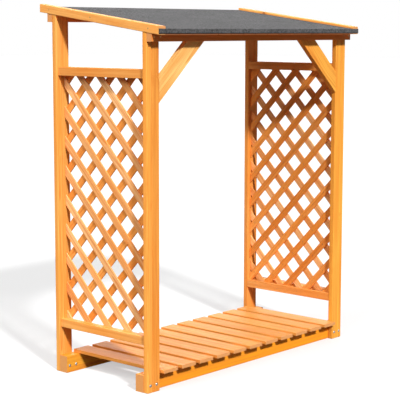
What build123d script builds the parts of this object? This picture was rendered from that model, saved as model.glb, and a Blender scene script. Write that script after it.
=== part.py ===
from build123d import *
import os
from math import ceil, cos, floor, radians, sin, tan

# Open log store in stained softwood: two lattice side panels between
# paired corner battens, a slatted floor on two bearers and a felted lean-to
# roof that rises to the back. X runs along the front, Y into the depth and
# Z up. The origin is on the ground under the middle of the roof.

# Overall frame, over the outer faces of the corner posts
frame_width = 1650
frame_depth = 680

# Corner posts: an outer and an inner batten side by side, bolted as a pair
post_outer_width = 36
post_inner_width = 52
post_thickness = 30
post_round = 4
post_foot_chamfer = 2

# Bearers under the floor
bearer_height = 90
bearer_thickness = 55
bearer_round = 3

# Floor slats, laid front to back
slat_count = 11
slat_width = 105
slat_thickness = 18
slat_round = 2.5
slat_front_overhang = 25
slat_back_setback = 10
slat_side_clearance = 3

# Lean-to roof
roof_pitch = 7.6
front_height = 1797
eave_overhang = 88
verge_width = 48
verge_height = 42
verge_reach = 3
verge_round = 3
deck_thickness = 26
deck_panel_count = 4
deck_boards_per_panel = 4
deck_joint_gap = 0.6
deck_vee = 3
felt_thickness = 4
felt_lap = 24
felt_bend = 3

# Beams that carry the roof, one across the front and one across the back
beam_thickness = 34
beam_height = 44
beam_round = 3

# Braces from the front posts up to the front beam
brace_width = 88
brace_angle = 42
brace_foot_drop = 345
brace_round = 3
brace_head_drop = 6

# Side panels: outer rails, two layers of diagonal laths and inner rails
rail_height = 45
rail_thickness = 42
rail_inset = 11
rail_round = 3
bottom_rail_height = 241
top_rail_drop = 179
inner_rail_round = 2
inner_bottom_rail_drop = 15
lath_width = 38
lath_thickness = 8.5
lath_sink = 1
lath_pitch = 107.3
lath_angle = 46.3
lattice_end_clearance = 1
lattice_rail_margin = 6

# Where two laths cross in each panel, in Y and Z from the panel's middle.
# Both panels are cut from longer trellis, so they start at other places.
lattice_crossings = {"left": (7, -17), "right": (-28, 13)}

# Sizes that follow from the ones above
half_width = frame_width / 2
half_depth = frame_depth / 2
post_width = post_outer_width + post_inner_width
roof_slope = tan(radians(roof_pitch))
eave_y = half_depth + eave_overhang
roof_half_width = half_width + verge_reach
deck_half_width = roof_half_width - verge_width
deck_rise = deck_thickness / cos(radians(roof_pitch))
felt_rise = felt_thickness / cos(radians(roof_pitch))
verge_rise = verge_height / cos(radians(roof_pitch))
post_face_y = half_depth - post_thickness
deck_front = -eave_y + felt_thickness
deck_back = eave_y - felt_thickness
lattice_thickness = 2 * lath_thickness - lath_sink
inner_rail_thickness = post_width - rail_inset - rail_thickness - lattice_thickness
brace_foot_height = front_height - brace_foot_drop
top_rail_height = front_height - top_rail_drop - rail_height


def underside(y):
    """Height of the roof's underside above the ground at a given depth."""
    return front_height + (y + half_depth) * roof_slope


def save(piece, name):
    piece.part.label = name
    export_step(piece.part, f"parts/{name}.step")


os.makedirs("parts", exist_ok=True)

roof_underside = Plane(
    origin=(0, 0, underside(0)),
    x_dir=(1, 0, 0),
    z_dir=(0, -sin(radians(roof_pitch)), cos(radians(roof_pitch))),
)

# Corner posts. Both battens of a pair stand on the ground and are cut off
# at the top to the pitch of the roof, so the roof sits flat on all of them.
for depth_name, depth_sign in (("front", -1), ("back", 1)):
    for side_name, side_sign in (("left", -1), ("right", 1)):
        for place, width, inset in (
            ("outer", post_outer_width, 0),
            ("inner", post_inner_width, post_outer_width),
        ):
            post_x = side_sign * (half_width - inset - width / 2)
            post_y = depth_sign * (half_depth - post_thickness / 2)
            with BuildPart() as post_batten:
                with BuildSketch(Plane.XY):
                    with Locations((post_x, post_y)):
                        RectangleRounded(width, post_thickness, post_round)
                extrude(amount=underside(half_depth) + post_thickness)
                chamfer(post_batten.faces().sort_by(Axis.Z)[0].edges(), post_foot_chamfer)
                split(bisect_by=roof_underside, keep=Keep.BOTTOM)
            save(post_batten, f"{depth_name}_{side_name}_post_{place}")

# Bearers. They stand on edge on the ground, on the inner faces of the
# posts, and run out flush with the outer faces.
for depth_name, depth_sign in (("front", -1), ("back", 1)):
    bearer_y = depth_sign * (post_face_y - bearer_thickness / 2)
    with BuildPart() as bearer:
        with BuildSketch(Plane.XY):
            with Locations((0, bearer_y)):
                Rectangle(frame_width, bearer_thickness)
        extrude(amount=bearer_height)
        fillet(bearer.edges().filter_by(Axis.X), bearer_round)
    save(bearer, f"{depth_name}_bearer")

# Floor slats. They lie on both bearers between the posts and run out past
# the front posts, with even gaps between them.
slat_front = -half_depth - slat_front_overhang
slat_back = post_face_y - slat_back_setback
slat_span = frame_width - 2 * (post_width + slat_side_clearance) - slat_width
slat_pitch = slat_span / (slat_count - 1)
for number in range(slat_count):
    slat_x = (number - (slat_count - 1) / 2) * slat_pitch
    with BuildPart() as floor_slat:
        with BuildSketch(Plane.XY.offset(bearer_height)):
            with Locations((slat_x, (slat_front + slat_back) / 2)):
                Rectangle(slat_width, slat_back - slat_front)
        extrude(amount=slat_thickness)
        fillet(floor_slat.edges().filter_by(Axis.Y), slat_round)
    save(floor_slat, f"floor_slat_{number + 1:02d}")

# Beams. Each lies on the outer faces of its pair of posts, and its top is
# planed to the roof's pitch.
for depth_name, depth_sign in (("front", -1), ("back", 1)):
    beam_near = depth_sign * half_depth
    beam_far = depth_sign * (half_depth + beam_thickness)
    beam_base = underside(max(beam_near, beam_far)) - beam_height
    with BuildPart() as beam:
        with BuildSketch(Plane.YZ.offset(-half_width)):
            with Locations(((beam_near + beam_far) / 2, beam_base + beam_height / 2)):
                Rectangle(beam_thickness, beam_height)
        extrude(amount=frame_width)
        fillet(beam.faces().sort_by(Axis.Z)[0].edges().filter_by(Axis.X), beam_round)
        split(bisect_by=roof_underside, keep=Keep.BOTTOM)
    save(beam, f"{depth_name}_beam")

# Braces. The foot is cut upright against the inner batten and the head is
# cut level, just below the roof, behind the front beam.
brace_rise = brace_width / cos(radians(brace_angle))
brace_slope = tan(radians(brace_angle))
brace_x = half_width - post_width
brace_head_height = underside(-half_depth) - brace_head_drop
brace_low_run = (brace_head_height - brace_foot_height) / brace_slope
brace_top_run = (brace_head_height - brace_foot_height - brace_rise) / brace_slope
for side_name, side_sign in (("left", -1), ("right", 1)):
    with BuildPart() as brace:
        with BuildSketch(Plane.XZ.offset(half_depth)):
            with BuildLine():
                Polyline(
                    (side_sign * brace_x, brace_foot_height),
                    (side_sign * (brace_x - brace_low_run), brace_head_height),
                    (side_sign * (brace_x - brace_top_run), brace_head_height),
                    (side_sign * brace_x, brace_foot_height + brace_rise),
                    close=True,
                )
            make_face()
        extrude(amount=-post_thickness)
        long_edges = brace.edges().filter_by(Plane.XZ).group_by(SortBy.LENGTH)[-1]
        fillet(long_edges, brace_round)
    save(brace, f"{side_name}_brace")

# Rails of the side panels, butted between the front and the back posts.
# The inner rails clamp the laths against the outer ones.
rail_length = 2 * post_face_y
for side_name, side_sign in (("left", -1), ("right", 1)):
    outer_rail_x = side_sign * (half_width - rail_inset - rail_thickness / 2)
    inner_rail_x = side_sign * (half_width - post_width + inner_rail_thickness / 2)
    for rail_name, rail_x, thickness, base, rounding in (
        ("top_rail", outer_rail_x, rail_thickness, top_rail_height, rail_round),
        ("bottom_rail", outer_rail_x, rail_thickness, bottom_rail_height, rail_round),
        ("top_inner_rail", inner_rail_x, inner_rail_thickness, top_rail_height, inner_rail_round),
        (
            "bottom_inner_rail",
            inner_rail_x,
            inner_rail_thickness,
            bottom_rail_height - inner_bottom_rail_drop,
            inner_rail_round,
        ),
    ):
        with BuildPart() as rail:
            with BuildSketch(Plane.XZ.offset(-post_face_y)):
                with Locations((rail_x, base + rail_height / 2)):
                    RectangleRounded(thickness, rail_height, rounding)
            extrude(amount=rail_length)
        save(rail, f"{side_name}_{rail_name}")

# Lattices. Two layers of laths cross at right angles, the outer layer
# falling towards the front, and both are trimmed to one rectangle that
# reaches behind the outer rails.
lattice_depth = 2 * (post_face_y - lattice_end_clearance)
lattice_base = bottom_rail_height + lattice_rail_margin
lattice_top = top_rail_height + rail_height - lattice_rail_margin
lattice_height = lattice_top - lattice_base
lattice_middle = (lattice_base + lattice_top) / 2
lath_length = 2 * (lattice_height + lattice_depth)
lath_rise = sin(radians(lath_angle))
lath_run = cos(radians(lath_angle))
lath_reach = (lattice_height * lath_run + lattice_depth * lath_rise - lath_width) / 2
for side_name, side_sign in (("left", -1), ("right", 1)):
    lattice_face = half_width - rail_inset - rail_thickness
    cross_y, cross_z = lattice_crossings[side_name]
    with BuildPart() as lattice:
        for layer, turn in ((0, 1), (1, -1)):
            layer_x = side_sign * (lattice_face - layer * (lath_thickness - lath_sink))
            start = cross_z * lath_run - turn * cross_y * lath_rise
            first = ceil((-lath_reach - start) / lath_pitch)
            last = floor((lath_reach - start) / lath_pitch)
            with BuildSketch(Plane.YZ.offset(layer_x)):
                for number in range(first, last + 1):
                    lath_y = cross_y - turn * number * lath_pitch * lath_rise
                    lath_z = lattice_middle + cross_z + number * lath_pitch * lath_run
                    with Locations(Location((lath_y, lath_z, 0), turn * lath_angle)):
                        Rectangle(lath_length, lath_width)
                with Locations((0, lattice_middle)):
                    Rectangle(lattice_depth, lattice_height, mode=Mode.INTERSECT)
            extrude(amount=-side_sign * lath_thickness)
    save(lattice, f"{side_name}_lattice")

# Verge battens along both sides of the roof, with plumb-cut ends. The felt
# passes in front of their front ends.
for side_name, side_sign in (("left", -1), ("right", 1)):
    with BuildPart() as verge:
        with BuildSketch(Plane.YZ.offset(side_sign * deck_half_width)):
            with BuildLine():
                Polyline(
                    (deck_front, underside(deck_front)),
                    (eave_y, underside(eave_y)),
                    (eave_y, underside(eave_y) + verge_rise),
                    (deck_front, underside(deck_front) + verge_rise),
                    close=True,
                )
            make_face()
        extrude(amount=side_sign * verge_width)
        fillet(verge.edges().filter_by(Plane.YZ).group_by(SortBy.LENGTH)[-1], verge_round)
    save(verge, f"{side_name}_verge")

# Roof deck between the verges, in panels of boards that run from front to
# back. A vee marks each joint on the underside.
panel_pitch = 2 * deck_half_width / deck_panel_count
board_pitch = panel_pitch / deck_boards_per_panel
for number in range(deck_panel_count):
    panel_left = -deck_half_width + number * panel_pitch
    with BuildPart() as deck_panel:
        with BuildSketch(Plane.YZ.offset(panel_left + deck_joint_gap / 2)):
            with BuildLine():
                Polyline(
                    (deck_front, underside(deck_front)),
                    (deck_back, underside(deck_back)),
                    (deck_back, underside(deck_back) + deck_rise),
                    (deck_front, underside(deck_front) + deck_rise),
                    close=True,
                )
            make_face()
        extrude(amount=panel_pitch - deck_joint_gap)
        joints = [
            (panel_left + board * board_pitch, 0) for board in range(deck_boards_per_panel + 1)
        ]
        with BuildSketch(roof_underside.rotated((90, 0, 0))):
            with Locations(*joints):
                Rectangle(deck_vee * 2**0.5, deck_vee * 2**0.5, rotation=45)
        extrude(amount=eave_y * 2, both=True, mode=Mode.SUBTRACT)
    save(deck_panel, f"roof_deck_{number + 1}")

# Felt over the deck, between the verges, folded down over the front and
# the back edge of the boards. At the front it is folded down across the
# ends of the verges too.
felt_top_front = underside(-eave_y) + deck_rise + felt_rise
felt_top_back = underside(eave_y) + deck_rise + felt_rise
with BuildPart() as roof_felt:
    with BuildSketch(Plane.YZ.offset(-deck_half_width)):
        with BuildLine():
            Polyline(
                (-eave_y, felt_top_front - felt_lap),
                (-eave_y, felt_top_front),
                (eave_y, felt_top_back),
                (eave_y, felt_top_back - felt_lap),
                (deck_back, felt_top_back - felt_lap),
                (deck_back, underside(deck_back) + deck_rise),
                (deck_front, underside(deck_front) + deck_rise),
                (deck_front, felt_top_front - felt_lap),
                close=True,
            )
        make_face()
    extrude(amount=2 * deck_half_width)
    with BuildSketch(Plane.YZ.offset(-roof_half_width)):
        with BuildLine():
            Polyline(
                (-eave_y, felt_top_front - felt_lap),
                (-eave_y, felt_top_front),
                (deck_front, felt_top_front + felt_thickness * roof_slope),
                (deck_front, felt_top_front - felt_lap),
                close=True,
            )
        make_face()
    extrude(amount=2 * roof_half_width)
    top_edges = roof_felt.edges().filter_by(Axis.X).group_by(Axis.Y)
    fillet(top_edges[0].sort_by(Axis.Z)[-1], felt_bend)
    fillet(top_edges[-1].sort_by(Axis.Z)[-1], felt_bend)
save(roof_felt, "roof_felt")
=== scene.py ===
import random
from math import cos, radians, sin, tan

import bmesh
import bpy
from mathutils import Euler, Matrix, Vector


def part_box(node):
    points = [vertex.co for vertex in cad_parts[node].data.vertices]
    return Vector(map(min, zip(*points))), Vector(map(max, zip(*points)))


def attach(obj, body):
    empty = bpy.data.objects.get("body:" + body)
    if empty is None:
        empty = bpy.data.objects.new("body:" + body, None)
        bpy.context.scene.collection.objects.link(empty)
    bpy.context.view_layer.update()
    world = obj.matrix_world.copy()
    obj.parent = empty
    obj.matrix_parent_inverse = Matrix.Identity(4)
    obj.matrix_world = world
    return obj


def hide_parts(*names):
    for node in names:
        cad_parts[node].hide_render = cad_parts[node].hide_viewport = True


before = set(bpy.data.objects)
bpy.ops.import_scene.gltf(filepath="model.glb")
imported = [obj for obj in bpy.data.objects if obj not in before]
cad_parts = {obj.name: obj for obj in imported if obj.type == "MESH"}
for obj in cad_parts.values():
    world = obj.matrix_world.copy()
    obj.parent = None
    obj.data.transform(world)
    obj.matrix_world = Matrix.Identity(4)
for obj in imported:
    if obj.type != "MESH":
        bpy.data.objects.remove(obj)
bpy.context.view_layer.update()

# The camera stands about 7 m from the middle of the store, as high as the
# roof, and sees the front and the left side at once.
camera_place = (-5.3425, -4.7126, 1.8165)
camera_turn = 48.3
camera_tilt = 7.57
camera_roll = 0.09
camera_data = bpy.data.cameras.new("store_camera")
camera_data.sensor_width = 36
camera_data.lens = 116.16
camera_data.clip_end = 200
camera = bpy.data.objects.new("store_camera", camera_data)
bpy.context.scene.collection.objects.link(camera)
bpy.context.scene.camera = camera
camera_aim = Euler((radians(90 - camera_tilt), 0, radians(-camera_turn))).to_matrix()
camera.location = camera_place
camera.rotation_euler = (camera_aim @ Matrix.Rotation(radians(camera_roll), 3, "Z")).to_euler()

# Bearers: two planed softwood battens on edge, dipped in honey stain and
# bolted to the feet of the posts. Growth rings show as arcs on their sawn ends,
# which are duller and browner. This section makes the wood for every board.
honey = (0.88, 0.365, 0.064, 1)
deep_honey = (0.92, 0.310, 0.010, 1)
late_wood = (0.62, 0.165, 0.020, 1)
amber = (0.82, 0.25, 0.026, 1)
knot_wood = (0.22, 0.060, 0.014, 1)
end_wood = (0.70, 0.34, 0.13, 1)
ring_width = 0.0045
ring_edge = 0.92
late_strength = 0.44
pith_wander = (0.03, 0.03, 0)
wander_fineness = (7, 7, 1.3)
fibre_fineness = (620, 620, 12)
streak_fineness = (75, 75, 1.7)
patch_fineness = (11, 11, 1.9)
usual_knots = 0.24
knot_cell_across = 0.12
knot_cell_along = 0.42
knot_smallest = 0.004
knot_largest = 0.011
branch_across = 0.82
branch_through = 0.57
rings_pushed = 1.8
cut_spread = (0.08, 0.07, 30)
cut_nearest = (-0.04, 0.014, 0)
darkest_board = {"Red": 0.90, "Green": 0.82, "Blue": 0.72}
one_board = 10
joint_width = 0.003
joint_depth = -4
wood_relief = 0.0005
wood_gloss = 0.16


def fill_sockets(tree, sockets, values):
    for socket, value in zip(sockets, values):
        if isinstance(value, bpy.types.NodeSocket):
            tree.links.new(value, socket)
        elif value is not None:
            socket.default_value = value


def maths(tree, operation, first, second=None, third=None):
    node = tree.nodes.new("ShaderNodeMath")
    node.operation = operation
    fill_sockets(tree, node.inputs, (first, second, third))
    return node.outputs["Value"]


def vector_maths(tree, operation, first, second=None):
    node = tree.nodes.new("ShaderNodeVectorMath")
    node.operation = operation
    fill_sockets(tree, node.inputs, (first, second))
    return node.outputs["Value" if operation == "LENGTH" else "Vector"]


def ramp(tree, value, low, high, out_low=0.0, out_high=1.0):
    node = tree.nodes.new("ShaderNodeMapRange")
    node.interpolation_type = "SMOOTHSTEP"
    fill_sockets(tree, node.inputs, (value, low, high, out_low, out_high))
    return node.outputs["Result"]


def mixed(tree, share, first, second, mode="MIX"):
    node = tree.nodes.new("ShaderNodeMix")
    node.data_type = "RGBA"
    node.blend_type = mode
    sockets = (node.inputs[0], node.inputs[6], node.inputs[7])
    fill_sockets(tree, sockets, (share, first, second))
    return node.outputs[2]


def noise(tree, vector, stretch, detail=2.0, output="Fac"):
    node = tree.nodes.new("ShaderNodeTexNoise")
    stretched = vector_maths(tree, "MULTIPLY", vector, stretch)
    sockets = (node.inputs["Vector"], node.inputs["Scale"], node.inputs["Detail"])
    fill_sockets(tree, sockets, (stretched, 1, detail))
    return node.outputs[output]


def parts_of(tree, value, kind="ShaderNodeSeparateXYZ"):
    node = tree.nodes.new(kind)
    tree.links.new(value, node.inputs[0])
    return node.outputs


def new_group(name, inputs, outputs):
    group = bpy.data.node_groups.new(name, "ShaderNodeTree")
    for label, kind in inputs:
        group.interface.new_socket(label, in_out="INPUT", socket_type=f"NodeSocket{kind}")
    for label, kind in outputs:
        group.interface.new_socket(label, in_out="OUTPUT", socket_type=f"NodeSocket{kind}")
    entry = group.nodes.new("NodeGroupInput")
    leave = group.nodes.new("NodeGroupOutput")
    return group, entry.outputs, leave.inputs


softwood, wood_in, wood_out = new_group(
    "stained_softwood",
    (("Place", "Vector"), ("Facing", "Vector"), ("Pitch", "Float"), ("Seed", "Float"),
     ("Wood", "Color"), ("End", "Color"), ("Knots", "Float")),
    (("Color", "Color"), ("Roughness", "Float"), ("Height", "Float")),
)

# Boards lie side by side at a pitch, each cut from another place in a tree,
# with a tone of its own. A board by itself has a pitch wider than it is.
place = parts_of(softwood, wood_in["Place"])
row_share = maths(softwood, "DIVIDE", place["X"], wood_in["Pitch"])
board_number = maths(softwood, "FLOOR", maths(softwood, "ADD", row_share, 0.5))
from_middle = maths(softwood, "SUBTRACT", row_share, board_number)
from_middle = maths(softwood, "MULTIPLY", from_middle, wood_in["Pitch"])
board_luck = softwood.nodes.new("ShaderNodeTexWhiteNoise")
board_luck.noise_dimensions = "1D"
softwood.links.new(maths(softwood, "ADD", board_number, wood_in["Seed"]), board_luck.inputs["W"])
tone = board_luck.outputs["Value"]
cut_from = vector_maths(softwood, "MULTIPLY", board_luck.outputs["Color"], cut_spread)
cut_from = vector_maths(softwood, "ADD", cut_from, cut_nearest)
own_place = softwood.nodes.new("ShaderNodeCombineXYZ")
fill_sockets(softwood, own_place.inputs, (from_middle, place["Y"], place["Z"]))
board = vector_maths(softwood, "ADD", own_place.outputs[0], cut_from)
half_pitch = maths(softwood, "MULTIPLY", wood_in["Pitch"], 0.5)
from_joint = maths(softwood, "SUBTRACT", half_pitch, maths(softwood, "ABSOLUTE", from_middle))
joint = ramp(softwood, from_joint, 0, joint_width, 1, 0)

# The pith wanders a little along the board
wander = noise(softwood, board, wander_fineness, 1, "Color")
wander = vector_maths(softwood, "SUBTRACT", wander, (0.5, 0.5, 0.5))
wander = vector_maths(softwood, "MULTIPLY", wander, pith_wander)
grown = parts_of(softwood, vector_maths(softwood, "ADD", board, wander))

# Knots are branches cut across, here and there along the board
branch = maths(softwood, "MULTIPLY", grown["Y"], branch_through)
branch = maths(softwood, "MULTIPLY_ADD", grown["X"], branch_across, branch)
knot_grid = softwood.nodes.new("ShaderNodeCombineXYZ")
softwood.links.new(maths(softwood, "DIVIDE", branch, knot_cell_across), knot_grid.inputs["X"])
softwood.links.new(maths(softwood, "DIVIDE", grown["Z"], knot_cell_along), knot_grid.inputs["Y"])
knot_cells = softwood.nodes.new("ShaderNodeTexVoronoi")
knot_cells.voronoi_dimensions = "2D"
knot_cells.inputs["Scale"].default_value = 1
knot_cells.inputs["Randomness"].default_value = 0.9
softwood.links.new(knot_grid.outputs[0], knot_cells.inputs["Vector"])
from_knot = vector_maths(softwood, "SUBTRACT", knot_grid.outputs[0], knot_cells.outputs["Position"])
from_knot = vector_maths(softwood, "MULTIPLY", from_knot, (knot_cell_across, knot_cell_along, 0))
knot_luck = parts_of(softwood, knot_cells.outputs["Color"], "ShaderNodeSeparateColor")
knot_size = ramp(softwood, knot_luck["Red"], 0, 1, knot_smallest, knot_largest)
knot_there = maths(softwood, "LESS_THAN", knot_luck["Green"], wood_in["Knots"])
knot_reach = maths(softwood, "DIVIDE", vector_maths(softwood, "LENGTH", from_knot), knot_size)
knot_core = maths(softwood, "MULTIPLY", knot_there, ramp(softwood, knot_reach, 0.75, 1.15, 1, 0))
knot_halo = maths(softwood, "MULTIPLY", knot_there, ramp(softwood, knot_reach, 0.8, 4.5, 1, 0))

# Growth rings, pale early wood that darkens to a sharp edge of late wood,
# pushed aside round each knot
ring_place = softwood.nodes.new("ShaderNodeCombineXYZ")
softwood.links.new(grown["X"], ring_place.inputs["X"])
softwood.links.new(grown["Y"], ring_place.inputs["Y"])
radius = vector_maths(softwood, "LENGTH", ring_place.outputs[0])
push = maths(softwood, "MULTIPLY", knot_halo, knot_size)
pushed = maths(softwood, "MULTIPLY_ADD", push, rings_pushed, radius)
ring = maths(softwood, "FRACT", maths(softwood, "DIVIDE", pushed, ring_width))
darkens = ramp(softwood, ring, 0.25, ring_edge)
ends = ramp(softwood, ring, ring_edge + 0.01, 1.0, 1, 0)
late = maths(softwood, "MULTIPLY", darkens, ends)

# Fine fibres, streaks where the stain took unevenly, and broad patches
fibre = noise(softwood, board, fibre_fineness)
streak = noise(softwood, board, streak_fineness, 3)
patch = noise(softwood, board, patch_fineness)
darkness = maths(softwood, "MULTIPLY", late, late_strength)
darkness = maths(softwood, "ADD", darkness, ramp(softwood, fibre, 0.3, 0.75, -0.08, 0.18))
darkness = maths(softwood, "ADD", darkness, ramp(softwood, streak, 0.32, 0.7, -0.13, 0.32))
darkness = maths(softwood, "MAXIMUM", darkness, 0)
stain = mixed(softwood, darkness, wood_in["Wood"], late_wood)
stain = mixed(softwood, ramp(softwood, patch, 0.38, 0.68, 0, 0.5), stain, amber)
shade = softwood.nodes.new("ShaderNodeCombineColor")
for channel, darkest in darkest_board.items():
    spread = maths(softwood, "MULTIPLY_ADD", tone, 2 * (1 - darkest), darkest)
    softwood.links.new(spread, shade.inputs[channel])
stain = mixed(softwood, 1.0, stain, shade.outputs[0], "MULTIPLY")
stain = mixed(softwood, maths(softwood, "MULTIPLY", knot_halo, 0.35), stain, late_wood)
stain = mixed(softwood, maths(softwood, "MULTIPLY", knot_core, 0.6), stain, knot_wood)
along_grain = maths(softwood, "ABSOLUTE", parts_of(softwood, wood_in["Facing"])["Z"])
sawn_end = ramp(softwood, along_grain, 0.55, 0.8)
ring_end = mixed(softwood, maths(softwood, "MULTIPLY", late, 0.45), wood_in["End"], late_wood)
stain = mixed(softwood, maths(softwood, "MULTIPLY", sawn_end, 0.85), stain, ring_end)
stain = mixed(softwood, maths(softwood, "MULTIPLY", joint, 0.8), stain, knot_wood)
softwood.links.new(stain, wood_out["Color"])
roughness = maths(softwood, "MULTIPLY_ADD", fibre, 0.2, 0.54)
softwood.links.new(maths(softwood, "MULTIPLY_ADD", sawn_end, 0.2, roughness), wood_out["Roughness"])
relief = maths(softwood, "MULTIPLY_ADD", late, 0.5, fibre)
relief = maths(softwood, "MULTIPLY_ADD", knot_core, 0.6, relief)
softwood.links.new(maths(softwood, "MULTIPLY_ADD", joint, joint_depth, relief), wood_out["Height"])

# Each turn stands the grain of a board upright, so that one wood serves all
grain_upright = Euler((0, 0, 0))
grain_along_x = Euler((0, radians(-90), 0))
grain_along_y = Euler((radians(90), 0, 0))
sawing = random.Random(53)


def principled(name):
    material = bpy.data.materials.new(name)
    material.use_nodes = True
    return material, material.node_tree, material.node_tree.nodes["Principled BSDF"]


def add_relief(tree, shader, height, depth, strength=0.35):
    bump = tree.nodes.new("ShaderNodeBump")
    bump.inputs["Strength"].default_value = strength
    bump.inputs["Distance"].default_value = depth
    tree.links.new(height, bump.inputs["Height"])
    tree.links.new(bump.outputs["Normal"], shader.inputs["Normal"])


def timber(name, turn, middle, wood=honey, knots=usual_knots, pitch=one_board, end=end_wood):
    """The finish of one board round its middle, or of a row of boards at a pitch."""
    material, tree, shader = principled(name)
    shader.inputs["Specular IOR Level"].default_value = wood_gloss
    coordinates = tree.nodes.new("ShaderNodeTexCoord").outputs
    stand = tree.nodes.new("ShaderNodeMapping")
    to_middle = -(turn.to_matrix() @ Vector(middle))
    fill_sockets(tree, stand.inputs, (coordinates["Object"], to_middle, turn))
    facing = tree.nodes.new("ShaderNodeMapping")
    facing.vector_type = "NORMAL"
    facing.inputs["Rotation"].default_value = turn
    tree.links.new(coordinates["Normal"], facing.inputs["Vector"])
    grain = tree.nodes.new("ShaderNodeGroup")
    grain.node_tree = softwood
    seed = sawing.uniform(1, 900)
    values = (stand.outputs[0], facing.outputs[0], pitch, seed, wood, end, knots)
    fill_sockets(tree, grain.inputs, values)
    tree.links.new(grain.outputs["Color"], shader.inputs["Base Color"])
    tree.links.new(grain.outputs["Roughness"], shader.inputs["Roughness"])
    add_relief(tree, shader, grain.outputs["Height"], wood_relief)
    return material


def finish_board(name, turn, wood=honey):
    board_low, board_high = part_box(name)
    finish = timber(f"wood_{name}", turn, (board_low + board_high) / 2, wood)
    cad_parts[name].material_slots[0].material = finish


bearer_woods = {"front_bearer": deep_honey, "back_bearer": (0.90, 0.455, 0.040, 1)}
for bearer, bearer_wood in bearer_woods.items():
    finish_board(bearer, grain_along_x, bearer_wood)

# Corner posts: at each corner an outer and an inner softwood batten stand side
# by side, planed and eased along their edges, and bolted to the bearer.
post_woods_and_painted_shade = {
    "front_left": honey,
    "front_right": (0.88, 0.40, 0.052, 1),
    "back_left": (0.89, 0.440, 0.105, 1),
    # back_right is painted darker as painted shade; the other three are the wood's own tones.
    "back_right": (0.76, 0.300, 0.066, 1),
}
for corner, post_tone in post_woods_and_painted_shade.items():
    for batten in ("outer", "inner"):
        finish_board(f"{corner}_post_{batten}", grain_upright, post_tone)

# Foot bolts: zinc-plated coach bolts, one through each batten and its
# bearer, put in from the front. The dome head faces the front, and a washer
# and a hexagon nut close the bolt at the back.
bolt_insets = (0.020, 0.065)
bolt_height = 0.038
bolt_head_radius = 0.0084
bolt_head_rise = 0.0044
bolt_end_radius = 0.003
bolt_end_length = 0.010
washer_radius = 0.009
washer_thickness = 0.0016
washer_ease = 0.0003
nut_radius = 0.0058
nut_thickness = 0.005
nut_ease = 0.0004
sharp_corner = 38
same_height = 1e-7
zinc_dull = (0.10, 0.095, 0.09, 1)
zinc_bright = (0.42, 0.41, 0.40, 1)
zinc_fineness = 380


def plated_steel(name, dull, bright, fineness, smoothest, roughest):
    """Plated steel, clouded between a duller and a brighter tone."""
    material, tree, shader = principled(name)
    shader.inputs["Metallic"].default_value = 1
    coordinates = tree.nodes.new("ShaderNodeTexCoord").outputs
    cloud = noise(tree, coordinates["Object"], (fineness, fineness, fineness))
    tree.links.new(mixed(tree, cloud, dull, bright), shader.inputs["Base Color"])
    tree.links.new(ramp(tree, cloud, 0.3, 0.7, smoothest, roughest), shader.inputs["Roughness"])
    return material


zinc = plated_steel("bright_zinc", zinc_dull, zinc_bright, zinc_fineness, 0.24, 0.42)


def add_rod(form, radius, bottom, top, sides, ease):
    """A rod or disc about Z with its ends eased."""
    middle = Matrix.Translation((0, 0, (bottom + top) / 2))
    made = bmesh.ops.create_cone(
        form, cap_ends=True, segments=sides, radius1=radius, radius2=radius,
        depth=top - bottom, matrix=middle)
    rims = [e for e in form.edges if all(v in made["verts"] for v in e.verts)
            and abs(e.verts[0].co.z - e.verts[1].co.z) < same_height]
    bmesh.ops.bevel(
        form, geom=rims, offset=ease, segments=2, profile=0.5, material=-1, affect="EDGES",
        offset_type="OFFSET")


def as_pattern(form, name):
    """Makes a small form a mesh with smooth faces and sharp corners, to be copied."""
    form.normal_update()
    for face in form.faces:
        face.smooth = True
    for edge in form.edges:
        edge.smooth = edge.calc_face_angle(0) < radians(sharp_corner)
    mesh = bpy.data.meshes.new(name)
    form.to_mesh(mesh)
    form.free()
    return mesh


def add_copy(form, pattern, point, facing=(0, 0, 1), spin=0.0):
    """Copies a pattern made about +Z onto a point, turned to where it faces."""
    turn = Vector(facing).to_track_quat("Z", "Y").to_matrix() @ Matrix.Rotation(spin, 3, "Z")
    stand = Matrix.Translation(point) @ turn.to_4x4()
    before = len(form.verts)
    form.from_mesh(pattern)
    form.verts.ensure_lookup_table()
    bmesh.ops.transform(form, matrix=stand, verts=form.verts[before:])


def new_piece(name, form, *materials):
    mesh = bpy.data.meshes.new(name)
    form.to_mesh(mesh)
    form.free()
    for material in materials:
        mesh.materials.append(material)
    piece = bpy.data.objects.new(name, mesh)
    bpy.context.scene.collection.objects.link(piece)
    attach(piece, "root")
    return piece


ball_radius = (bolt_head_radius**2 + bolt_head_rise**2) / (2 * bolt_head_rise)
dome = bmesh.new()
bmesh.ops.create_uvsphere(
    dome, u_segments=24, v_segments=32, radius=ball_radius,
    matrix=Matrix.Translation((0, 0, bolt_head_rise - ball_radius)))
dome_cut = bmesh.ops.bisect_plane(
    dome, geom=dome.verts[:] + dome.edges[:] + dome.faces[:], plane_co=(0, 0, 0),
    plane_no=(0, 0, 1), clear_inner=True)
dome_rim = [e for e in dome_cut["geom_cut"] if isinstance(e, bmesh.types.BMEdge)]
bmesh.ops.holes_fill(dome, edges=dome_rim)
bolt_head = as_pattern(dome, "coach_bolt_head")

nut = bmesh.new()
nut_top = washer_thickness + nut_thickness
add_rod(nut, washer_radius, 0, washer_thickness, 24, washer_ease)
add_rod(nut, nut_radius, washer_thickness, nut_top, 6, nut_ease)
add_rod(nut, bolt_end_radius, nut_top, bolt_end_length, 16, nut_ease)
bolt_nut = as_pattern(nut, "washer_and_nut")

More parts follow.
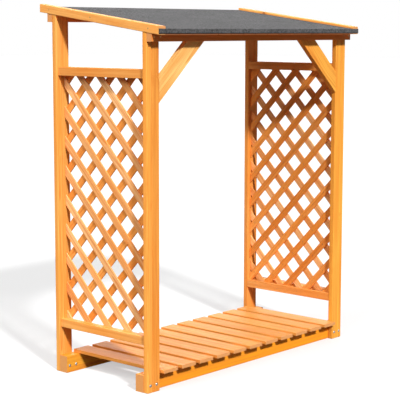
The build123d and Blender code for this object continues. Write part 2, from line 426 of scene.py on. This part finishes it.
bolts = bmesh.new()
turning = random.Random(7)
for depth_name in ("front", "back"):
    post_low, post_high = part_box(f"{depth_name}_left_post_outer")
    bearer_low, bearer_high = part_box(f"{depth_name}_bearer")
    head_y = min(post_low.y, bearer_low.y)
    nut_y = max(post_high.y, bearer_high.y)
    for side in (-1, 1):
        for inset in bolt_insets:
            bolt_x = side * (bearer_high.x - inset)
            nut_spin = turning.uniform(0, 1)
            add_copy(bolts, bolt_head, (bolt_x, head_y, bolt_height), (0, -1, 0))
            add_copy(bolts, bolt_nut, (bolt_x, nut_y, bolt_height), (0, 1, 0), nut_spin)
new_piece("foot_bolts", bolts, zinc)

# Floor slats: eleven planed softwood boards, a shade paler than the frame,
# laid front to back. Two countersunk screws hold each one to each bearer.
slat_wood = (0.84, 0.37, 0.080, 1)
screw_radius = 0.0042
screw_rise = 0.0002
screw_ease = 0.0002
screw_head_depth = 0.0024
screw_recess_radius = 0.0018
screw_recess_slope = 0.0003
screw_recess_depth = 0.0016
screw_pair = 0.030
screw_wobble = 0.003
passivated_dull = (0.20, 0.12, 0.045, 1)
passivated_bright = (0.46, 0.32, 0.14, 1)
passivated_fineness = 300
slat_names = sorted(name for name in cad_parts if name.startswith("floor_slat"))
for slat in slat_names:
    finish_board(slat, grain_along_y, slat_wood)

head = bmesh.new()
add_rod(head, screw_radius, -screw_head_depth, screw_rise, 14, screw_ease)
head_top = max(head.faces, key=lambda face: face.calc_center_median().z)
head_rim = screw_radius - screw_recess_radius - screw_ease
bmesh.ops.inset_region(head, faces=[head_top], thickness=head_rim, depth=0)
bmesh.ops.inset_region(
    head, faces=[head_top], thickness=screw_recess_slope, depth=-screw_recess_depth)
screw_head = as_pattern(head, "screw_head")

passivated = plated_steel(
    "yellow_passivated_steel", passivated_dull, passivated_bright, passivated_fineness, 0.32, 0.5)

slat_screws = bmesh.new()
for slat in slat_names:
    slat_low, slat_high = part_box(slat)
    slat_x = (slat_low.x + slat_high.x) / 2
    for bearer in ("front_bearer", "back_bearer"):
        bearer_low, bearer_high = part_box(bearer)
        screw_y = (bearer_low.y + bearer_high.y) / 2
        for offset in (-screw_pair, screw_pair):
            wobble = turning.uniform(-screw_wobble, screw_wobble)
            screw_spin = turning.uniform(0, 1)
            screw_place = (slat_x + offset, screw_y + wobble, slat_high.z)
            add_copy(slat_screws, screw_head, screw_place, spin=screw_spin)
new_piece("slat_screws", slat_screws, passivated)

# Outer rails: one softwood batten at the top and one at the bottom of each
# side panel, planed, stained and butted between the posts.
rail_wood = (0.90, 0.420, 0.110, 1)
for side_name in ("left", "right"):
    for rail in ("top_rail", "bottom_rail"):
        finish_board(f"{side_name}_{rail}", grain_along_y, rail_wood)

# Lattices: planed softwood laths in two crossing layers, stapled where they
# cross. The outer layer falls to the front. Each lath comes from another board,
# so each has its own tone.
# The two layers are lit and shaded copies of one wood: the outer layer is painted paler as painted
# light, the inner one darker and more orange as painted shade.
lath_woods_lit_and_shaded = ((0.93, 0.52, 0.22, 1), (0.88, 0.35, 0.075, 1))
lath_width = 0.038
lath_pitch = 0.1073
lath_angle = 46.3
lath_ease = 0.0012
lath_wobble = 0.0012
lath_knots = 0.12
lattice_crossings = {"left": (0.007, -0.017), "right": (-0.028, 0.013)}


def cut_to_panel(form, low, high):
    """Saws laths off along the four sides of a panel and closes the cuts."""
    sides = ((low, (0, -1, 0)), (low, (0, 0, -1)), (high, (0, 1, 0)), (high, (0, 0, 1)))
    for point, outwards in sides:
        cut = bmesh.ops.bisect_plane(
            form, geom=form.verts[:] + form.edges[:] + form.faces[:], plane_co=point,
            plane_no=outwards, clear_outer=True)
        rims = [e for e in cut["geom_cut"] if isinstance(e, bmesh.types.BMEdge) and e.is_boundary]
        bmesh.ops.holes_fill(form, edges=rims)


def staple_pattern(name, crown, wire, leg):
    """A staple driven to its crown along X, its legs going down into the wood."""
    form = bmesh.new()
    bend = wire
    foot = Matrix.Translation((bend - crown / 2, 0, -leg))
    ring_made = bmesh.ops.create_circle(
        form, cap_ends=False, segments=8, radius=wire / 2, matrix=foot)
    rim = list({edge for vert in ring_made["verts"] for edge in vert.link_edges})
    runs = (((0, 0, leg), bend), ((crown - 4 * bend, 0, 0), bend), ((0, 0, -leg), 0))
    corner = Vector((2 * bend - crown / 2, 0, 0))
    for step, turn_radius in runs:
        made = bmesh.ops.extrude_edge_only(form, edges=rim)["geom"]
        new_verts = [v for v in made if isinstance(v, bmesh.types.BMVert)]
        bmesh.ops.translate(form, verts=new_verts, vec=step)
        rim = [e for e in made if isinstance(e, bmesh.types.BMEdge)]
        if turn_radius:
            made = bmesh.ops.spin(
                form, geom=rim, cent=corner, axis=(0, 1, 0), angle=radians(90), steps=4,
                use_duplicate=False)["geom_last"]
            rim = [e for e in made if isinstance(e, bmesh.types.BMEdge)]
            corner = Vector((crown / 2 - 2 * bend, 0, 0))
    bmesh.ops.holes_fill(form, edges=[e for e in form.edges if e.is_boundary])
    bmesh.ops.recalc_face_normals(form, faces=form.faces[:])
    return as_pattern(form, name)


staple_crown = 0.010
staple_wire = 0.0011
staple_leg = 0.0014
staple_margin = 0.014
staple_swing = 0.3
lath_staple = staple_pattern("lath_staple", staple_crown, staple_wire, staple_leg)
lath_staples = bmesh.new()
for side_name, side in (("left", -1), ("right", 1)):
    panel_low, panel_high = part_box(f"{side_name}_lattice")
    middle = (panel_low + panel_high) / 2
    crossing = middle + Vector((0, *lattice_crossings[side_name]))
    face_x = panel_high.x if side < 0 else panel_low.x
    lath_thickness = (panel_high.x - panel_low.x) / 2
    lath_length = 1.5 * (panel_high.z - panel_low.z)
    lath_size = Matrix.Diagonal((lath_thickness, lath_length, lath_width, 1))
    reach = int(lath_length / 2 / lath_pitch)
    laths = bmesh.new()
    finishes = []
    for layer, tilt in enumerate((lath_angle, -lath_angle)):
        layer_x = middle.x + side * lath_thickness * (0.5 - layer)
        across = Matrix.Rotation(radians(tilt), 3, "X") @ Vector((0, 0, lath_pitch))
        for number in range(-reach, reach + 1):
            lath = bmesh.ops.create_cube(laths, size=1, matrix=lath_size)["verts"]
            long_edges = {e for v in lath for e in v.link_edges
                          if abs(e.verts[0].co.y - e.verts[1].co.y) > lath_length / 2}
            eased = bmesh.ops.bevel(
                laths, geom=list(long_edges), offset=lath_ease, segments=2, profile=0.5,
                material=-1, affect="EDGES", offset_type="OFFSET")
            lath = {v for face in eased["faces"] for v in face.verts}
            swing = radians(tilt) + turning.uniform(-lath_wobble, lath_wobble)
            drop = turning.uniform(-lath_wobble, lath_wobble)
            centre = crossing + number * across + Vector((0, 0, drop))
            centre.x = layer_x
            stand = Matrix.Translation(centre) @ Matrix.Rotation(swing, 4, "X")
            bmesh.ops.transform(laths, matrix=stand, verts=list(lath))
            for face in {f for v in lath for f in v.link_faces}:
                face.material_index = layer
        upright_turn = Euler((radians(90 - lath_angle) * (1 - 2 * layer), 0, radians(-90)))
        finishes.append(timber(
            f"{side_name}_laths_{layer + 1}", upright_turn, crossing, lath_woods_lit_and_shaded[layer],
            lath_knots, lath_pitch))
    cut_to_panel(laths, panel_low, panel_high)
    lattice = new_piece(f"{side_name}_laths", laths, *finishes)
    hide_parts(f"{side_name}_lattice")
    crossing_step = Vector((
        0, lath_pitch / sin(radians(lath_angle)) / 2, lath_pitch / cos(radians(lath_angle)) / 2))
    first_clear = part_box(f"{side_name}_bottom_inner_rail")[1].z + staple_margin
    last_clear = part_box(f"{side_name}_top_inner_rail")[0].z - staple_margin
    for row in range(-reach, reach + 1):
        staple_z = crossing.z + row * crossing_step.z
        for column in range(-reach, reach + 1):
            staple_y = crossing.y + column * crossing_step.y
            inside = panel_low.y + staple_margin < staple_y < panel_high.y - staple_margin
            if inside and first_clear < staple_z < last_clear and (row + column) % 2 == 0:
                staple_spin = radians(90) + turning.uniform(-staple_swing, staple_swing)
                staple_place = (face_x, staple_y, staple_z)
                add_copy(lath_staples, lath_staple, staple_place, (-side, 0, 0), staple_spin)
new_piece("lath_staples", lath_staples, zinc)

# Inner rails: softwood battens that clamp the laths against the outer rails from
# the inside, pinned with small nails along their length. Their wood is painted
# paler as painted light, lifting them out of the shade between the panels.
inner_rail_painted_light = (0.94, 0.450, 0.130, 1)
pin_radius = 0.0019
pin_rise = 0.0004
pin_places = (-0.24, -0.08, 0.08, 0.24)
pin_wobble_along = 0.01
pin_wobble_up = 0.004
pin = bmesh.new()
add_rod(pin, pin_radius, -pin_radius, pin_rise, 12, pin_rise)
pin_head = as_pattern(pin, "pin_head")
rail_pins = bmesh.new()
for side_name, side in (("left", -1), ("right", 1)):
    for rail in ("top_inner_rail", "bottom_inner_rail"):
        finish_board(f"{side_name}_{rail}", grain_along_y, inner_rail_painted_light)
        rail_low, rail_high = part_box(f"{side_name}_{rail}")
        face_x = rail_low.x if side > 0 else rail_high.x
        for pin_y in pin_places:
            up = turning.uniform(-pin_wobble_up, pin_wobble_up)
            along = turning.uniform(-pin_wobble_along, pin_wobble_along)
            pin_place = (face_x, pin_y + along, (rail_low.z + rail_high.z) / 2 + up)
            add_copy(rail_pins, pin_head, pin_place, (-side, 0, 0))
new_piece("rail_pins", rail_pins, zinc)

# Beams: a softwood batten across the outer faces of the posts at the front and
# one at the back, with a screw into each post batten. Their tops are planed to
# the pitch, and the roof sits on them.
# Both beams are painted darker and redder as painted shade under the roof's edge.
beam_wood_painted_shade = (0.78, 0.250, 0.052, 1)
beam_screw_height = 0.024
beam_screws = bmesh.new()
for depth_name, outwards in (("front", -1), ("back", 1)):
    finish_board(f"{depth_name}_beam", grain_along_x, beam_wood_painted_shade)
    beam_low, beam_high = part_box(f"{depth_name}_beam")
    face_y = beam_low.y if outwards < 0 else beam_high.y
    for side_name in ("left", "right"):
        for batten in ("outer", "inner"):
            batten_low, batten_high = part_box(f"{depth_name}_{side_name}_post_{batten}")
            screw_x = (batten_low.x + batten_high.x) / 2
            screw_place = (screw_x, face_y, beam_low.z + beam_screw_height)
            screw_spin = turning.uniform(0, 1)
            add_copy(beam_screws, screw_head, screw_place, (0, outwards, 0), screw_spin)
new_piece("beam_screws", beam_screws, passivated)

# Braces: short planed softwood boards that stiffen the open front. The foot is
# cut upright against the post and the head level behind the beam.
brace_angle = 42
brace_woods = {"left": (0.96, 0.65, 0.22, 1), "right": (0.97, 0.47, 0.072, 1)}
for side_name, side in (("left", -1), ("right", 1)):
    up_the_brace = Euler((0, radians(side * (90 - brace_angle)), 0))
    finish_board(f"{side_name}_brace", up_the_brace, brace_woods[side_name])

# Roof boards: tongued softwood boards from the front to the back, nailed to
# both beams. Only their undersides and the front edge below the felt show.
# The roof boards and their sawn ends are painted darker as painted shade under the felt.
deck_wood_painted_shade = (0.62, 0.235, 0.050, 1)
deck_end_painted_shade = (0.36, 0.140, 0.070, 1)
deck_knots = 0.3
roof_pitch = 7.6
deck_panels = 4
boards_each_panel = 4
down_the_roof = Euler((radians(90 - roof_pitch), 0, 0))
deck_low, deck_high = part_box("roof_deck_3")
deck_half_width = -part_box("left_verge")[1].x
board_pitch = 2 * deck_half_width / (deck_panels * boards_each_panel)
row_middle = Vector((board_pitch / 2, 0, (deck_low.z + deck_high.z) / 2))
deck_finish = timber(
    "wood_roof_boards", down_the_roof, row_middle, deck_wood_painted_shade, deck_knots, board_pitch,
    deck_end_painted_shade)
for number in range(deck_panels):
    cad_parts[f"roof_deck_{number + 1}"].material_slots[0].material = deck_finish

# Verge battens: planed softwood, one along each side of the roof. They stand a
# little proud of the felt and are screwed to the edge of the roof boards.
verge_wood = (0.96, 0.49, 0.135, 1)
verge_screw_places = (-0.352, 0.052, 0.360)
verge_screws = bmesh.new()
for side_name, side in (("left", -1), ("right", 1)):
    finish_board(f"{side_name}_verge", down_the_roof, verge_wood)
    verge_low, verge_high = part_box(f"{side_name}_verge")
    face_x = verge_low.x if side < 0 else verge_high.x
    for screw_y in verge_screw_places:
        screw_z = (verge_low.z + verge_high.z) / 2 + screw_y * tan(radians(roof_pitch))
        screw_spin = turning.uniform(0, 1)
        add_copy(verge_screws, screw_head, (face_x, screw_y, screw_z), (side, 0, 0), screw_spin)
new_piece("verge_screws", verge_screws, passivated)

# Roofing felt: bitumen felt with a coat of grey mineral granules, laid in one
# strip, folded down over the front and the back edge and stapled there. The
# lowest few millimetres of both flaps are darkened to near black.
granule_size = 0.0014
granule_relief = 0.0010
mottle_fineness = (95, 95, 95)
drift_fineness = (6, 9, 9)
felt_gloss = 0.06
felt_darkest = (0.014, 0.013, 0.013, 1)
felt_palest = (0.150, 0.148, 0.151, 1)
felt_foot_black = (0.030, 0.022, 0.018, 1)
felt_foot_band = 0.004
felt, felt_tree, felt_shader = principled("grey_mineral_felt")
felt_place = felt_tree.nodes.new("ShaderNodeTexCoord").outputs["Object"]
granules = felt_tree.nodes.new("ShaderNodeTexVoronoi")
granules.inputs["Scale"].default_value = 1 / granule_size
felt_tree.links.new(felt_place, granules.inputs["Vector"])
granule_luck = parts_of(felt_tree, granules.outputs["Color"], "ShaderNodeSeparateColor")["Red"]
mottle = noise(felt_tree, felt_place, mottle_fineness, 4)
drift = noise(felt_tree, felt_place, drift_fineness)
paleness = maths(felt_tree, "MULTIPLY_ADD", granule_luck, 0.8, -0.02)
paleness = maths(felt_tree, "ADD", paleness, ramp(felt_tree, mottle, 0.32, 0.68, -0.12, 0.38))
paleness = maths(felt_tree, "ADD", paleness, ramp(felt_tree, drift, 0.35, 0.65, -0.05, 0.05))
felt_colour = mixed(felt_tree, paleness, felt_darkest, felt_palest)
felt_low, felt_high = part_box("roof_felt")
felt_at = parts_of(felt_tree, felt_place)
roof_rise = tan(radians(roof_pitch))
# Near black along the lowest few millimetres of both flaps
above_felt_foot = maths(felt_tree, "MULTIPLY_ADD", felt_at["Y"], -roof_rise, felt_at["Z"])
above_felt_foot = maths(felt_tree, "SUBTRACT", above_felt_foot, felt_low.z - roof_rise * felt_low.y)
near_felt_foot = ramp(felt_tree, above_felt_foot, felt_foot_band / 2, felt_foot_band, 0.9, 0)
felt_colour = mixed(felt_tree, near_felt_foot, felt_colour, felt_foot_black)
felt_roughness = ramp(felt_tree, granule_luck, 0, 1, 0.75, 0.98)
felt_tree.links.new(felt_colour, felt_shader.inputs["Base Color"])
felt_tree.links.new(felt_roughness, felt_shader.inputs["Roughness"])
felt_shader.inputs["Specular IOR Level"].default_value = felt_gloss
add_relief(felt_tree, felt_shader, granules.outputs["Distance"], granule_relief, 0.6)
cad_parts["roof_felt"].material_slots[0].material = felt

felt_flap = 0.024
felt_staple_crown = 0.0106
felt_staple_wire = 0.0012
felt_staple_leg = 0.0015
felt_staple_margin = 0.03
felt_staple_height = 0.010
felt_staple_swing = 0.2
staples_each_way = 9
felt_staple_pitch = (felt_high.x - felt_staple_margin) / staples_each_way
felt_staple = staple_pattern(
    "felt_staple", felt_staple_crown, felt_staple_wire, felt_staple_leg)
felt_staples = bmesh.new()
felt_edges = ((felt_low.y, felt_low.z, -1), (felt_high.y, felt_high.z - felt_flap, 1))
for face_y, flap_foot, outwards in felt_edges:
    for number in range(-staples_each_way, staples_each_way + 1):
        staple_x = (number + turning.uniform(-0.15, 0.15)) * felt_staple_pitch
        staple_z = flap_foot + felt_staple_height + turning.uniform(-0.002, 0.002)
        staple_spin = turning.uniform(-felt_staple_swing, felt_staple_swing)
        staple_place = (staple_x, face_y, staple_z)
        add_copy(felt_staples, felt_staple, staple_place, (0, outwards, 0), staple_spin)
new_piece("felt_staples", felt_staples, zinc)

# Studio: a white floor, a lamp at the front left that throws the shadows, a wide
# soft one on the left, another low behind on the right, and a pale surround.
floor_size = 120
lamps = {
    "front_left_lamp": ((0.53, 1.29, -1.0), 4.1, 5),
    "wide_left_lamp": ((1.0, -0.05, -0.9), 2.2, 45),
    "wide_rear_lamp": ((-0.9, -1.0, -0.40), 2.1, 45),
}
surround_light = 0.13
floor_bounce = (0.10, 0.10, 0.10, 1)
floor_white = (0.85, 0.85, 0.85, 1)
floor_glow = 0.5

floor_form = bmesh.new()
bmesh.ops.create_grid(floor_form, x_segments=1, y_segments=1, size=floor_size / 2)
floor_mesh = bpy.data.meshes.new("studio_floor")
floor_form.to_mesh(floor_mesh)
floor_form.free()
floor = bpy.data.objects.new("studio_floor", floor_mesh)
bpy.context.scene.collection.objects.link(floor)


def seen_directly(tree):
    """1 where the camera, a reflection or a clear pane looks at the surface, else 0."""
    path = tree.nodes.new("ShaderNodeLightPath").outputs
    seen = maths(tree, "ADD", path["Is Camera Ray"], path["Is Glossy Ray"])
    return maths(tree, "MINIMUM", maths(tree, "ADD", seen, path["Is Transmission Ray"]), 1)


paper = bpy.data.materials.new("white_studio_paper")
paper.use_nodes = True
paper_tree = paper.node_tree
paper_tree.nodes.clear()
paper_seen = seen_directly(paper_tree)
paper_colour = paper_tree.nodes.new("ShaderNodeBsdfDiffuse")
paper_white = mixed(paper_tree, paper_seen, floor_bounce, floor_white)
paper_tree.links.new(paper_white, paper_colour.inputs["Color"])
paper_glow = paper_tree.nodes.new("ShaderNodeEmission")
paper_mix = paper_tree.nodes.new("ShaderNodeMixShader")
glow_share = maths(paper_tree, "MULTIPLY", paper_seen, floor_glow)
paper_sources = (glow_share, paper_colour.outputs[0], paper_glow.outputs[0])
fill_sockets(paper_tree, paper_mix.inputs, paper_sources)
paper_end = paper_tree.nodes.new("ShaderNodeOutputMaterial")
paper_tree.links.new(paper_mix.outputs[0], paper_end.inputs["Surface"])
floor_mesh.materials.append(paper)

for lamp_name, (lamp_aim, lamp_strength, lamp_width) in lamps.items():
    lamp_data = bpy.data.lights.new(lamp_name, "SUN")
    lamp_data.energy = lamp_strength
    lamp_data.angle = radians(lamp_width)
    lamp = bpy.data.objects.new(lamp_name, lamp_data)
    lamp.rotation_euler = Vector(lamp_aim).to_track_quat("-Z", "Y").to_euler()
    bpy.context.scene.collection.objects.link(lamp)

surround = bpy.data.worlds.new("white_surround")
bpy.context.scene.world = surround
surround.use_nodes = True
surround_tree = surround.node_tree
backdrop = surround_tree.nodes["Background"]
surround_seen = seen_directly(surround_tree)
surround_strength = maths(
    surround_tree, "MULTIPLY_ADD", surround_seen, 1 - surround_light, surround_light)
surround_tree.links.new(surround_strength, backdrop.inputs["Strength"])
backdrop.inputs["Color"].default_value = (1, 1, 1, 1)
bpy.context.scene.view_settings.view_transform = "Standard"
